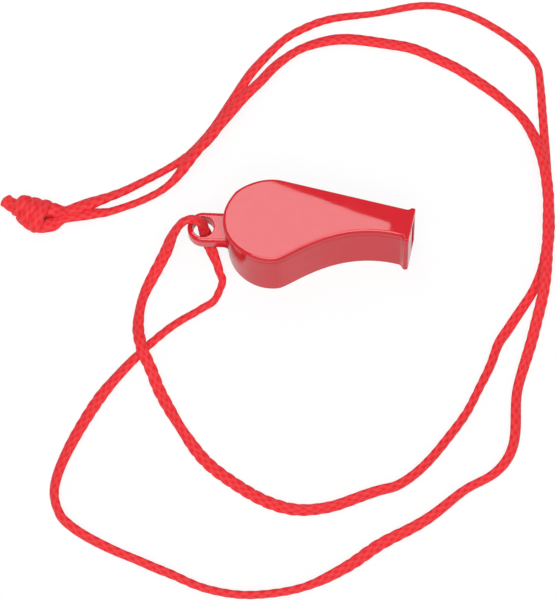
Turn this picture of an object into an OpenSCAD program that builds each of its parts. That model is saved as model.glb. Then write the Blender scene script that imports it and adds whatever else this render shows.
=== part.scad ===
// Plastic pea whistle on a looped braided lanyard, lying on its side.
// The chamber's axis is Z, the mouth faces +X and the sound window faces +Y.

/* [Whistle] */
// Outer diameter of the round chamber
chamber_d = 21; // [19:0.5:24]
// Width of the whistle across its two side faces
whistle_w = 18; // [16:0.5:22]
// Height of the flat top above the chamber's axis
top_y = 9.2; // [8.8:0.1:9.6]
// Distance from the chamber's axis to the mouth end
mouth_x = 31.1; // [28:0.5:38]
// Height of the mouthpiece just behind its lip
mouth_h = 6.15; // [5.8:0.05:7]
// Rounding of the side faces' rims
rim_r = 0.6; // [0.3:0.1:0.9]

/* [Mouth lip] */
// Length of the lip that the teeth hold
lip_l = 2.2; // [1.6:0.1:3]
// How far the lip stands above the flat top
lip_up = 0.6; // [0.3:0.1:1]
// How far the lip stands below the neck
lip_down = 0.9; // [0.4:0.1:1.2]

/* [Walls] */
// Thickness of the round chamber wall
chamber_wall = 2; // [1.6:0.1:2.4]
// Thickness of the side wall moulded with the body
side_wall = 2.2; // [1.6:0.1:3]
// Thickness of the side cover
cover_t = 2.2; // [1.6:0.1:3]
// Depth of the cover's locating disc
disc_h = 0.8; // [0.5:0.1:1.2]
// Clearance round the locating disc
disc_gap = 0.15; // [0.05:0.05:0.3]

/* [Windway and window] */
// Height of the windway where it meets the chamber
windway_h = 1.8; // [1.4:0.1:2.2]
// Thickness of the roof over the windway
roof_t = 1.4; // [1.2:0.1:1.6]
// Height of the mouth opening
mouth_open_h = 2.1; // [1.8:0.1:2.4]
// Thickness of the roof at the mouth
mouth_roof_t = 0.8; // [0.7:0.1:1]
// Depth of the widened stretch of the windway at the mouth
mouth_depth = 4.6; // [3:0.1:6]
// Widening of the mouth at the end face, each side
mouth_flare = 0.25; // [0.1:0.05:0.3]
// Length of the sound window
window_l = 7; // [6.6:0.1:8]
// Distance of the sounding edge behind the chamber's axis
edge_back = 3; // [2.6:0.1:3.4]
// Length of the bevel behind the sounding edge
edge_bevel_l = 1.8; // [1.4:0.1:2.2]
// Rise of the bevel behind the sounding edge
edge_bevel_h = 0.4; // [0.2:0.1:0.5]

/* [Pea] */
// Diameter of the cork pea
pea_d = 9; // [8:0.25:9.5]
// Running gap between the pea and the chamber
pea_gap = 0.3; // [0.2:0.05:0.6]

/* [Lanyard eye] */
// Distance from the chamber's axis to the eye
eye_reach = 15.85; // [15:0.25:18]
// Diameter of the eye
eye_d = 4.9; // [4.5:0.1:5.2]
// Width of the flat of the lug round the eye
lug_rim = 1.2; // [1:0.1:1.6]
// Thickness of the lug
lug_t = 4; // [3:0.25:4.25]
// Radius of the fillets at the lug's root
lug_fillet_r = 2.5; // [1.5:0.25:3]

/* [Lanyard] */
// Diameter of the braided cord
cord_d = 2.4; // [2:0.1:2.4]

/* [Hidden] */
$fn = 72;
over = 1;

chamber_r = chamber_d / 2;
bore_r = chamber_r - chamber_wall;
seam_z = whistle_w - cover_t;
neck_y = top_y - mouth_h;
body_red = [0.84, 0.11, 0.16];
cord_red = [0.93, 0.14, 0.17];
cork_tan = [0.78, 0.58, 0.38];

// Angles, round the chamber, at which the neck and the ramp leave its circle
neck_angle = -70;
ramp_angle = 158;
// Pulls of the two outline curves, as shares of the chamber's radius
neck_start_share = 0.3;
neck_end_share = 1.45;
ramp_start_share = 0.04;
ramp_top_share = 0.54;
ramp_low_share = 0.1;
// The lip's profile: shares of its length, and of how far it stands out
lip_shares = [[0, 0], [0.2, 0.06], [0.36, 0.3], [0.5, 0.75], [0.62, 0.97], [0.76, 1],
              [0.9, 0.88], [1, 0.6]];
curve_steps = 14;
arc_step = 6;

function on_circle(r, a) = [r * cos(a), r * sin(a)];
function curve_at(p, t) =
    pow(1 - t, 3) * p[0] + 3 * pow(1 - t, 2) * t * p[1]
    + 3 * (1 - t) * pow(t, 2) * p[2] + pow(t, 3) * p[3];
function curve(p, n) = [for (i = [1:n]) curve_at(p, i / n)];

// The neck sweeps from the chamber's circle to the underside of the mouthpiece
function neck_curve() =
    let (a = neck_angle, start = on_circle(chamber_r, a), end = [mouth_x - lip_l, neck_y])
    curve([start, start + neck_start_share * chamber_r * [-sin(a), cos(a)],
           end - [neck_end_share * chamber_r, 0], end], curve_steps);
// The ramp falls from the flat top to the chamber's circle
function ramp_curve() =
    let (a = ramp_angle, start = [-ramp_start_share * chamber_r, top_y],
         end = on_circle(chamber_r, a))
    concat([start],
           curve([start, start - [ramp_top_share * chamber_r, 0],
                  end + ramp_low_share * chamber_r * [sin(a), -cos(a)], end], curve_steps));
function lip_low() =
    [for (s = lip_shares) if (s[0] > 0) [mouth_x - (1 - s[0]) * lip_l, neck_y - s[1] * lip_down]];
function lip_top() =
    [for (i = [len(lip_shares) - 1:-1:0]) let (s = lip_shares[i])
        [mouth_x - (1 - s[0]) * lip_l, top_y + s[1] * lip_up]];
function back_arc() =
    let (sweep = 360 + neck_angle - ramp_angle, n = ceil(sweep / arc_step))
    [for (i = [1:n]) on_circle(chamber_r, ramp_angle + i * sweep / n)];
function whistle_outline() = concat(neck_curve(), lip_low(), lip_top(), ramp_curve(), back_arc());

// A closed outline drawn in by d, each corner moving along its bisector
function edge_normal(a, b) = [a.y - b.y, b.x - a.x] / norm(b - a);
function drawn_in(pts, d) =
    let (n = len(pts))
    [for (i = [0:n - 1])
        let (a = edge_normal(pts[(i + n - 1) % n], pts[i]), b = edge_normal(pts[i], pts[(i + 1) % n]))
        pts[i] + d * (a + b) / (1 + a * b)];

// The triangles between the outline's lower and upper side, taken in turn from the back to the mouth
function laced(pts, low, high, i = 0, j = 0) =
    i == len(low) - 1 && j == len(high) - 1 ? []
    : j == len(high) - 1 || (i < len(low) - 1 && pts[low[i + 1]].x <= pts[high[j + 1]].x)
    ? concat([[low[i], low[i + 1], high[j]]], laced(pts, low, high, i + 1, j))
    : concat([[low[i], high[j + 1], high[j]]], laced(pts, low, high, i, j + 1));
function face_triangles(pts) =
    let (n = len(pts), mouth = curve_steps + len(lip_shares) - 1,
         back = min([for (i = [0:n - 1]) if (pts[i].x == min([for (p = pts) p.x])) i]))
    laced(pts, [for (k = [back:n + mouth - 1]) k % n], [for (k = [back:-1:mouth]) k]);

// A solid through a stack of outlines, each given as [height, points]
module stack(layers) {
    n = len(layers[0][1]);
    top = len(layers) - 1;
    points = [for (l = layers) for (q = l[1]) [q.x, q.y, l[0]]];
    sides = [for (k = [0:top - 1]) for (i = [0:n - 1]) let (j = (i + 1) % n)
        [k * n + i, (k + 1) * n + i, (k + 1) * n + j, k * n + j]];
    face = face_triangles(layers[top][1]);
    polyhedron(points, concat(face, sides, [for (t = face) [for (i = [2:-1:0]) top * n + t[i]]]));
}

rim_angles = [0, 30, 60, 90];
function rim_layers(outline, z, up) =
    [for (a = up > 0 ? rim_angles : [90, 60, 30, 0])
        [z - up * rim_r * (1 - sin(a)), drawn_in(outline, rim_r * (1 - cos(a)))]];

module body_shell() {
    outline = whistle_outline();
    stack(concat(rim_layers(outline, 0, -1), [[seam_z, outline]]));
}

// The lug is drawn along +X and turned to its place
lug_angle = 192;
lug_half = eye_d / 2 + lug_rim;
// How far the fillets run into the chamber's wall
fillet_sink = chamber_wall / 30;
module lug_root_fillet() {
    span = chamber_r - fillet_sink + lug_fillet_r;
    cy = lug_half + lug_fillet_r;
    cx = sqrt(pow(span, 2) - pow(cy, 2));
    difference() {
        polygon([[bore_r, 0], [cx, 0], [cx, lug_half],
                 [cx, cy] * (chamber_r - fillet_sink) / span]);
        translate([cx, cy]) circle(r = lug_fillet_r);
    }
}
module lug_outline() {
    difference() {
        union() {
            translate([eye_reach, 0]) circle(r = lug_half);
            translate([bore_r + chamber_wall / 2, -lug_half])
                square([eye_reach - bore_r - chamber_wall / 2, 2 * lug_half]);
            lug_root_fillet();
            mirror([0, 1]) lug_root_fillet();
        }
        circle(r = bore_r + chamber_wall / 2);
    }
}
module lug() {
    translate([0, 0, (whistle_w - lug_t) / 2]) rotate([0, 0, lug_angle])
        linear_extrude(lug_t) lug_outline();
}
module eye() {
    rotate([0, 0, lug_angle]) translate([eye_reach, 0, (whistle_w - lug_t) / 2 - over])
        cylinder(d = eye_d, h = lug_t + 2 * over);
}

// Windway: a narrow slit over the partition that widens towards the mouth
roof_y = top_y - roof_t;
mouth_roof_y = top_y - mouth_roof_t;
edge_y = sqrt(pow(bore_r, 2) - pow(edge_back, 2));
module windway_outline() {
    pocket_x = mouth_x - mouth_depth;
    polygon([[0, roof_y - windway_h],
             [bore_r / 2, roof_y - windway_h],
             [pocket_x, mouth_roof_y - mouth_open_h],
             [mouth_x, mouth_roof_y - mouth_open_h - mouth_flare],
             [mouth_x + over, mouth_roof_y - mouth_open_h - mouth_flare],
             [mouth_x + over, mouth_roof_y + mouth_flare],
             [mouth_x, mouth_roof_y + mouth_flare],
             [pocket_x, mouth_roof_y],
             [window_l - edge_back, roof_y],
             [0, roof_y]]);
}
// Sound window: cut square at the roof's end, and with a bevel behind the sounding edge
module window_outline() {
    polygon([[edge_bevel_l - edge_back, edge_y - edge_bevel_h],
             [window_l - edge_back, edge_y - edge_bevel_h],
             [window_l - edge_back, top_y + over],
             [-edge_back - edge_bevel_l, top_y + over],
             [-edge_back - edge_bevel_l, edge_y + edge_bevel_h]]);
}

module whistle_body() {
    color(body_red) difference() {
        union() {
            body_shell();
            lug();
        }
        translate([0, 0, side_wall]) linear_extrude(whistle_w) union() {
            circle(r = bore_r);
            windway_outline();
            window_outline();
        }
        eye();
    }
}

module side_cover() {
    outline = whistle_outline();
    color(body_red) union() {
        stack(concat([[seam_z, outline]], rim_layers(outline, whistle_w, 1)));
        translate([0, 0, seam_z - disc_h])
            cylinder(r = bore_r - disc_gap, h = disc_h + cover_t / 2);
    }
}

module pea() {
    color(cork_tan)
        translate([0, -(bore_r - pea_gap - pea_d / 2), side_wall + pea_gap + pea_d / 2])
            sphere(d = pea_d);
}

// Routes of the two strands, each point as [x, y, height of the cord's centre]
floor_z = 1.2;
cross_z = 3.7;
upper_route = [
    [-15.4, -3.3, 9], [-15.9, -2.8, 10.7], [-16.9, -2.6, 12.3], [-18.6, -2.9, 13.1],
    [-20.2, -3.8, 12.6], [-21.6, -5.3, 10.6], [-22.7, -7, 7.8], [-23.5, -9, 5],
    [-24.5, -11.5, 2.9], [-25.5, -15, 1.7], [-26, -18.5, floor_z], [-25.5, -24.5, 1.9],
    [-22, -32.8, 3.8], [-18.5, -37.5, 2.8], [-15.5, -41.5, 1.6], [-3, -53.5, floor_z],
    [5.5, -58, floor_z], [19.5, -60.5, floor_z], [28, -58, floor_z], [38, -51.5, floor_z],
    [42, -49, floor_z], [47.5, -41.5, floor_z], [54.5, -22, floor_z], [55.5, -11, floor_z],
    [57, -6.5, floor_z], [61.5, 8, floor_z], [61.5, 13, floor_z], [59, 26, floor_z],
    [51, 54, floor_z], [48, 60.5, floor_z], [35, 67.5, floor_z], [27.5, 69, floor_z],
    [19, 68, floor_z], [9, 63.5, floor_z], [-6, 56.5, floor_z], [-15.5, 42, floor_z],
    [-21.5, 23, floor_z], [-25, 17, floor_z], [-36, 6, floor_z], [-49, -3.6, 1.9]];
lower_route = [
    [-15.4, -3.3, 9], [-14.9, -3.8, 7.3], [-14.3, -4.9, 5.6], [-13.2, -6.4, 4.2],
    [-12, -8, 2.9], [-10.5, -9.6, 1.7], [-9, -11.2, floor_z], [-9, -16, floor_z],
    [-16, -23, floor_z], [-28, -43, floor_z], [-33, -69, floor_z], [-30, -74.5, floor_z],
    [-26.5, -76.5, floor_z], [-15, -80, floor_z], [-3, -81.5, floor_z], [6.5, -83, floor_z],
    [16.5, -82, floor_z], [27, -77.5, floor_z], [35.5, -70.5, floor_z], [41.5, -63.5, floor_z],
    [49, -56, floor_z], [57, -46.5, floor_z], [64.5, -36, floor_z], [62.5, -20, floor_z],
    [63, -6, 2.2], [63, 4.5, cross_z], [59.7, 22.5, cross_z], [56, 33, cross_z],
    [49.5, 44.5, 2], [42.5, 49, floor_z], [22, 56.5, floor_z], [10.5, 56, floor_z],
    [0, 54, floor_z], [-11, 44.5, 2.4], [-14, 37.5, cross_z], [-23, 16.5, cross_z],
    [-26.5, 9, 2.4], [-31, 4.5, floor_z], [-39.5, -1.5, floor_z], [-49, -6.2, 1.9]];
// The knot: the two strands that run through it into its tails, and the turn round them
knot_core_a = [[-48.2, -3, 1.9], [-51, -4.4, 2.9], [-54.5, -5.2, 2.6], [-58.5, -5.4, 2.2],
               [-61.3, -5.2, 1.9], [-63.4, -4.2, 1.6]];
knot_core_b = [[-48.2, -5.8, 1.9], [-51, -8.2, 2.2], [-53.8, -9.3, 2.4], [-57, -8.6, 2.4],
               [-59.3, -7.2, 1.9], [-61.5, -6.4, 1.5]];
knot_turn = [[-50.8, -3.2, 1.8], [-51.6, -3.8, 3.8], [-53.6, -6, 4.8], [-56.2, -8.9, 3.9],
             [-56.9, -9.8, 2], [-54.8, -7.6, floor_z], [-51.8, -4.4, floor_z]];
knot_turn_places = [[0, 0, 0], [-2.1, 1.5, 0]];
cord_sides = 8;

function unit(v) = v / norm(v);
function tangent(pts, i) =
    let (last = len(pts) - 1)
    i == 0 ? unit(pts[1] - pts[0])
    : i == last ? unit(pts[last] - pts[last - 1])
    : unit(unit(pts[i + 1] - pts[i]) + unit(pts[i] - pts[i - 1]));
function across(v, t) = unit(v - (v * t) * t);
// Each ring's side direction is carried on from the ring before, so the tube doesn't twist
function side_directions(pts, i, v) =
    let (here = across(v, tangent(pts, i)))
    i == len(pts) - 1 ? [here] : concat([here], side_directions(pts, i + 1, here));
module cord_tube(pts, d) {
    n = cord_sides;
    last = len(pts) - 1;
    sides = side_directions(pts, 0, [1, 0, 0]);
    points = [for (i = [0:last]) let (u = sides[i], w = cross(tangent(pts, i), u))
        for (k = [0:n - 1]) pts[i] + d / 2 * (cos(360 * k / n) * u + sin(360 * k / n) * w)];
    skin = [for (i = [0:last - 1]) for (k = [0:n - 1]) let (m = (k + 1) % n)
        each [[i * n + k, (i + 1) * n + k, (i + 1) * n + m], [i * n + k, (i + 1) * n + m, i * n + m]]];
    polyhedron(points, concat([[for (k = [0:n - 1]) k]], skin,
                              [[for (k = [n - 1:-1:0]) last * n + k]]));
}

module lanyard_upper_strand() color(cord_red) cord_tube(upper_route, cord_d);
module lanyard_lower_strand() color(cord_red) cord_tube(lower_route, cord_d);
module lanyard_knot() {
    color(cord_red) union() {
        cord_tube(knot_core_a, cord_d);
        cord_tube(knot_core_b, cord_d);
        for (place = knot_turn_places) translate(place) cord_tube(knot_turn, cord_d);
    }
}

whistle_body();
side_cover();
pea();
lanyard_upper_strand();
lanyard_lower_strand();
lanyard_knot();
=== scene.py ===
"""A red plastic pea whistle lying on its side, on its looped braided lanyard.

The chamber's axis is Z, the mouth faces +X and the sound window faces +Y. The classes hold
their sizes in millimetres and their angles in degrees, and every mesh is made in metres.
"""
import logging
from collections.abc import Callable
from dataclasses import dataclass, field
from enum import Enum
from functools import cache

import bmesh
import bpy
import numpy as np
from bpy.types import ID, Material, Mesh, Node, NodeSocket, NodeTree, Object
from mathutils import Matrix, Vector


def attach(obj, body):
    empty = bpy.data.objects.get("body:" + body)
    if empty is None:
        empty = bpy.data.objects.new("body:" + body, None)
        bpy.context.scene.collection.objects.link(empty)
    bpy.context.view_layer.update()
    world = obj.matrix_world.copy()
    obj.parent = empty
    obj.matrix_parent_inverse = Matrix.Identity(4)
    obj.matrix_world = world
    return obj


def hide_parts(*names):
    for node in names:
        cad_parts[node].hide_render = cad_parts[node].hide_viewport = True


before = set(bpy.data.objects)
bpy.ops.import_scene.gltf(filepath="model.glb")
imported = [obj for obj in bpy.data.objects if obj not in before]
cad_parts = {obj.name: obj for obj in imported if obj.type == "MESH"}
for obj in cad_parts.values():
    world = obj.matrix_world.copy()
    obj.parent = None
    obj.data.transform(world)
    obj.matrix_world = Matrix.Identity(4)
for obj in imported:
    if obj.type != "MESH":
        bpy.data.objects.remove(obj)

LOG = logging.getLogger("whistle")
MM = 0.001
SHARP_FROM = 32.0  # degrees between two faces, above which their edge stays sharp
YARN_LEAN = 22.0  # degrees between the cord's way and its yarns
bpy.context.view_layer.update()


def on_circle(radius: float, degrees: np.ndarray) -> np.ndarray:
    """Points on a circle about the origin.

    Args:
        radius: the circle's radius.
        degrees: the angles from +X.

    Returns:
        An array of x and y, one row per angle.
    """
    turn = np.radians(degrees)
    return radius * np.column_stack([np.cos(turn), np.sin(turn)])


def cubic(a: np.ndarray, b: np.ndarray, c: np.ndarray, d: np.ndarray, steps: int) -> np.ndarray:
    """Points on a cubic curve, without its first one.

    The curve is the sum of its four points weighted by the terms of ((1 - t) + t) cubed.

    Args:
        a, b, c, d: the curve's start, its two pulls and its end.
        steps: the number of points.

    Returns:
        An array of points, one row each.
    """
    t = np.arange(1, steps + 1)[:, None] / steps
    return (1 - t) ** 3 * a + 3 * (1 - t) ** 2 * t * b + 3 * (1 - t) * t ** 2 * c + t ** 3 * d


def unit(rows: np.ndarray) -> np.ndarray:
    """Each row at length one."""
    return rows / np.linalg.norm(rows, axis=-1, keepdims=True)


def strip_quads(rows: int, columns: int, closed: bool = True) -> np.ndarray:
    """Quads between the neighbouring rows of a grid of points.

    Args:
        rows: the number of rows.
        columns: the number of points in a row.
        closed: whether each row joins up with its own start.

    Returns:
        An array of four point numbers per quad.
    """
    low, i = np.meshgrid(np.arange(rows - 1), np.arange(columns - (not closed)), indexing="ij")
    j = (i + 1) % columns
    return np.stack([low * columns + i, low * columns + j,
                     (low + 1) * columns + j, (low + 1) * columns + i], axis=-1).reshape(-1, 4)


def end_fans(rows: int, columns: int) -> np.ndarray:
    """Triangles that close both ends of a grid of points, each about a point of its own.

    Args:
        rows: the number of rows.
        columns: the number of points in a row, which joins up with its own start.

    Returns:
        An array of three point numbers per triangle; the two end points follow the grid's own.
    """
    ring = np.arange(columns)
    return np.vstack([np.column_stack([first + ring, first + np.roll(ring, -1), np.full(columns, tip)])
                      for first, tip in ((0, rows * columns), ((rows - 1) * columns, rows * columns + 1))])


def quarter(count: int) -> np.ndarray:
    """The angles of a quarter turn in radians, for the section of a rounded edge."""
    return np.radians(np.linspace(0, 90, count))


def linked(name: str, data: ID) -> Object:
    """An object that holds a mesh, a lamp or a camera, linked to the scene."""
    obj = bpy.data.objects.new(name, data)
    bpy.context.scene.collection.objects.link(obj)
    return obj


def shade(mesh: Mesh, smooth: float = SHARP_FROM) -> None:
    """Shades a mesh smooth, with its edges above an angle in degrees kept sharp."""
    mesh.polygons.foreach_set("use_smooth", np.ones(len(mesh.polygons), bool))
    mesh.set_sharp_from_angle(angle=np.radians(smooth))
    mesh.update()


def make_object(name: str, points: np.ndarray, faces: list, smooth: float = SHARP_FROM) -> Object:
    """An object at the origin with its place in its mesh, and its faces turned outwards.

    Args:
        name: the object's name.
        points: the vertices in millimetres, one row each.
        faces: lists of vertex numbers.
        smooth: the angle in degrees above which an edge stays sharp.

    Returns:
        The new object, linked to the scene.
    """
    mesh = bpy.data.meshes.new(name)
    mesh.from_pydata((np.asarray(points) * MM).tolist(), [], faces)
    work = bmesh.new()
    work.from_mesh(mesh)
    bmesh.ops.recalc_face_normals(work, faces=work.faces)
    work.to_mesh(mesh)
    work.free()
    shade(mesh, smooth)
    return linked(name, mesh)


class Work(Enum):
    """What a tool solid does to a piece."""

    JOIN = "UNION"
    CUT = "DIFFERENCE"


def machined(piece: Object, tools: list[tuple[Object, Work]]) -> Object:
    """A piece with tool solids joined to it or cut from it, in their order.

    Args:
        piece: the closed solid that is worked on.
        tools: closed solids and what each does; they are removed afterwards.

    Returns:
        The piece, with its new mesh.
    """
    for tool, work in tools:
        step = piece.modifiers.new(tool.name, "BOOLEAN")
        step.solver = "EXACT"
        step.operation = work.value
        step.object = tool
    seen = piece.evaluated_get(bpy.context.evaluated_depsgraph_get())
    mesh = bpy.data.meshes.new_from_object(seen)
    piece.modifiers.clear()
    piece.data = mesh
    for tool, _ in tools:
        bpy.data.objects.remove(tool)
    shade(mesh)
    return piece


class NodeTable:
    """A small helper that lays out one node tree. Its values may be numbers or output sockets."""

    def __init__(self, tree: NodeTree) -> None:
        """Starts on an emptied tree."""
        self.tree = tree
        tree.nodes.clear()

    def add(self, kind: str, inputs: dict | None = None, **settings) -> Node:
        """Adds a node.

        Args:
            kind: the node's type name.
            inputs: values or output sockets by input name or number.
            settings: the node's own properties.

        Returns:
            The new node.
        """
        node = self.tree.nodes.new(kind)
        for key, value in settings.items():
            setattr(node, key, value)
        for key, value in (inputs or {}).items():
            if isinstance(value, NodeSocket):
                self.tree.links.new(value, node.inputs[key])
            else:
                node.inputs[key].default_value = value
        return node

    def ramp(self, value: NodeSocket, stops: list[tuple[float, tuple]]) -> NodeSocket:
        """The colour of a value between stops.

        Args:
            value: the value, from 0 to 1.
            stops: pairs of place and colour.

        Returns:
            The colour's socket.
        """
        node = self.add("ShaderNodeValToRGB", {"Fac": value})
        band = node.color_ramp.elements
        while len(band) < len(stops):
            band.new(0.5)
        for mark, (place, colour) in zip(band, stops):
            mark.position = place
            mark.color = (*colour, 1)
        return node.outputs["Color"]

    def spread(self, value: NodeSocket, low: float, high: float,
               start: float = 0.0, end: float = 1.0) -> NodeSocket:
        """A value carried from the range start to end into the range low to high."""
        return self.add("ShaderNodeMapRange", {"Value": value, "From Min": start, "From Max": end,
                                               "To Min": low, "To Max": high}).outputs["Result"]

    def noise(self, place: NodeSocket, scale: float | NodeSocket,
              detail: float, roughness: float = 0.5) -> NodeSocket:
        """The value of a cloudy noise at a place."""
        return self.add("ShaderNodeTexNoise", {"Vector": place, "Scale": scale, "Detail": detail,
                                               "Roughness": roughness}).outputs["Fac"]

    def math(self, operation: str, *values: float | NodeSocket) -> NodeSocket:
        """The outcome of a sum on two or three values."""
        return self.add("ShaderNodeMath", dict(enumerate(values)), operation=operation).outputs[0]

    def mixed(self, share: float | NodeSocket, first: NodeSocket,
              second: tuple | NodeSocket, blend: str = "MIX") -> NodeSocket:
        """A first colour that a second one takes over, or blends with, by a share."""
        return self.add("ShaderNodeMix", {"Factor": share, 6: first, 7: second}, data_type="RGBA",
                        blend_type=blend).outputs[2]

    def bump(self, height: NodeSocket, strength: float, depth: float) -> NodeSocket:
        """The normal of a surface with a height in it, by a strength and a depth in millimetres."""
        return self.add("ShaderNodeBump", {"Height": height, "Strength": strength,
                                           "Distance": depth * MM}).outputs["Normal"]


def moulding_group() -> NodeTree:
    """The surface that a steel mould leaves on plastic: a mottled mask, and a height.

    The height is a fine grain and broad shallow sinks, each times its share.

    Returns:
        A group with inputs for its scales and shares, and outputs Mottle and Height.
    """
    name = "MouldedSurface"
    if name in bpy.data.node_groups:
        return bpy.data.node_groups[name]
    tree = bpy.data.node_groups.new(name, "ShaderNodeTree")
    sockets = {"INPUT": ("Mottle Scale", "Grain Scale", "Sink Scale", "Grain Share", "Sink Share"),
               "OUTPUT": ("Mottle", "Height")}
    for way, names in sockets.items():
        for socket in names:
            tree.interface.new_socket(socket, in_out=way, socket_type="NodeSocketFloat")
    table = NodeTable(tree)
    given = table.add("NodeGroupInput").outputs
    place = table.add("ShaderNodeTexCoord").outputs["Object"]
    mottle = table.noise(place, given["Mottle Scale"], detail=3.0, roughness=0.55)
    grain = table.noise(place, given["Grain Scale"], detail=2.0, roughness=0.6)
    sink = table.noise(place, given["Sink Scale"], detail=1.0)
    low = table.math("MULTIPLY", sink, given["Sink Share"])
    height = table.math("MULTIPLY_ADD", grain, given["Grain Share"], low)
    table.add("NodeGroupOutput", {"Mottle": mottle, "Height": height})
    return tree


@dataclass(frozen=True)
class Finish:
    """A surface finish, which becomes a material when a piece first asks for it."""

    name: str

    def shader(self, table: NodeTable) -> Node:
        """Lays out the finish's own shader.

        Args:
            table: the node table of its material.

        Returns:
            The node whose first output is the shader.
        """
        raise NotImplementedError

    @cache
    def material(self) -> Material:
        """Makes the finish's material at the first call.

        Returns:
            The material, the same one at each call.
        """
        made = bpy.data.materials.new(self.name)
        made.use_nodes = True
        table = NodeTable(made.node_tree)
        table.add("ShaderNodeOutputMaterial", {"Surface": self.shader(table).outputs[0]})
        return made


@dataclass(frozen=True)
class PlasticFinish(Finish):
    """Moulded plastic: its colour, its gloss and how uneven its surface is."""

    colour: tuple = (0.68, 0.014, 0.026)
    deep: tuple = (0.65, 0.011, 0.021)
    specular: float = 0.5
    ior: float = 1.5
    smoothest: float = 0.01
    roughest: float = 0.026
    bump: float = 0.04
    bump_depth: float = 0.02
    mottle_scale: float = 220.0
    grain_scale: float = 2600.0
    sink_scale: float = 45.0
    grain_share: float = 0.12
    sink_share: float = 110.0

    def shader(self, table: NodeTable) -> Node:
        """Two close reds and a roughness that follow one mottle, over a bumped skin."""
        skin = table.add("ShaderNodeGroup", {
            "Mottle Scale": self.mottle_scale, "Grain Scale": self.grain_scale,
            "Sink Scale": self.sink_scale, "Grain Share": self.grain_share,
            "Sink Share": self.sink_share}, node_tree=moulding_group()).outputs
        return table.add("ShaderNodeBsdfPrincipled", {
            "Base Color": table.ramp(skin["Mottle"], [(0.3, self.deep), (0.62, self.colour)]),
            "Roughness": table.spread(skin["Mottle"], self.smoothest, self.roughest, 0.1, 0.9),
            "Normal": table.bump(skin["Height"], self.bump, self.bump_depth),
            "IOR": self.ior, "Specular IOR Level": self.specular})


@dataclass(frozen=True)
class BraidFinish(Finish):
    """Braided synthetic cord, with a painted highlight on the crowns of its yarns and painted shade between
    them.

    The UV map is in millimetres round and along the cord, and the fibres follow the lean of
    the set of yarns that lies on top.
    """

    name: str = "red_braid_cord"
    # painted highlight: a paler, pinker red on the crowns of the yarns
    crown_highlight: tuple = (0.93, 0.058, 0.072)
    body: tuple = (0.93, 0.02, 0.027)
    # painted shade: darker reds in the valleys between yarns and, darkest, at their crossings (node)
    valley_shade: tuple = (0.89, 0.013, 0.019)
    node: tuple = (0.82, 0.01, 0.015)
    streak: tuple = (0.8, 0.76, 0.76)
    scorched: tuple = (0.12, 0.1, 0.03)
    lean: float = YARN_LEAN
    fibre_scale: tuple = (9.0, 1.1, 1.0)
    smoothest: float = 0.6
    roughest: float = 0.8
    bump: float = 0.6
    bump_depth: float = 0.06
    specular: float = 0.35
    sheen: float = 0.06
    sheen_roughness: float = 0.4

    def fibres(self, table: NodeTable, turn: float) -> NodeSocket:
        """Fine streaks along a set of yarns.

        Args:
            table: the node table of the cord's material.
            turn: the angle by which the set leans.

        Returns:
            The socket of the streaks' value.
        """
        place = table.add("ShaderNodeUVMap").outputs["UV"]
        turned = table.add("ShaderNodeMapping", {"Vector": place, "Rotation": (0, 0, np.radians(turn)),
                                                 "Scale": self.fibre_scale}).outputs["Vector"]
        return table.noise(turned, 1.0, detail=3.0, roughness=0.6)

    def shader(self, table: NodeTable) -> Node:
        """Reads the braid's own attributes: how high it stands, which set lies on top, the scorch."""
        kept = {name: table.add("ShaderNodeAttribute", attribute_name=name).outputs["Fac"]
                for name in ("braid_height", "lay", "scorch")}
        fibre = table.add("ShaderNodeMix", {"Factor": kept["lay"], 2: self.fibres(table, -self.lean),
                                            3: self.fibres(table, self.lean)}).outputs[0]
        # the braid's height picks painted shade low down and a painted highlight on its crowns
        yarn = table.ramp(kept["braid_height"], [(0.0, self.node), (0.25, self.valley_shade), (0.72, self.body),
                                                 (1.0, self.crown_highlight)])
        streak = table.ramp(fibre, [(0.3, self.streak), (0.7, (1, 1, 1))])
        return table.add("ShaderNodeBsdfPrincipled", {
            "Base Color": table.mixed(kept["scorch"], table.mixed(1.0, yarn, streak, "MULTIPLY"),
                                      (*self.scorched, 1)),
            "Roughness": table.spread(fibre, self.smoothest, self.roughest),
            "Normal": table.bump(fibre, self.bump, self.bump_depth), "Specular IOR Level": self.specular,
            "Sheen Weight": self.sheen, "Sheen Roughness": self.sheen_roughness})


@dataclass(frozen=True)
class CorkFinish(Finish):
    """Cork with its brown flecks and small pits."""

    name: str = "cork"
    pale: tuple = (0.66, 0.46, 0.27)
    light: tuple = (0.56, 0.36, 0.19)
    dark: tuple = (0.22, 0.11, 0.05)
    fleck_scale: float = 700.0
    pit_scale: float = 900.0
    smoothest: float = 0.7
    roughest: float = 0.92
    bump: float = 0.6
    bump_depth: float = 0.15

    def shader(self, table: NodeTable) -> Node:
        """Flecks of a cloudy noise, and pits at the middles of small cells."""
        place = table.add("ShaderNodeTexCoord").outputs["Object"]
        cells = table.add("ShaderNodeTexVoronoi", {"Vector": place, "Scale": self.pit_scale})
        fleck = table.noise(place, self.fleck_scale, detail=4.0)
        return table.add("ShaderNodeBsdfPrincipled", {
            "Base Color": table.ramp(fleck, [(0.35, self.dark), (0.5, self.light), (0.75, self.pale)]),
            "Roughness": table.spread(fleck, self.smoothest, self.roughest),
            "Normal": table.bump(cells.outputs["Distance"], self.bump, self.bump_depth)})


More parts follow.
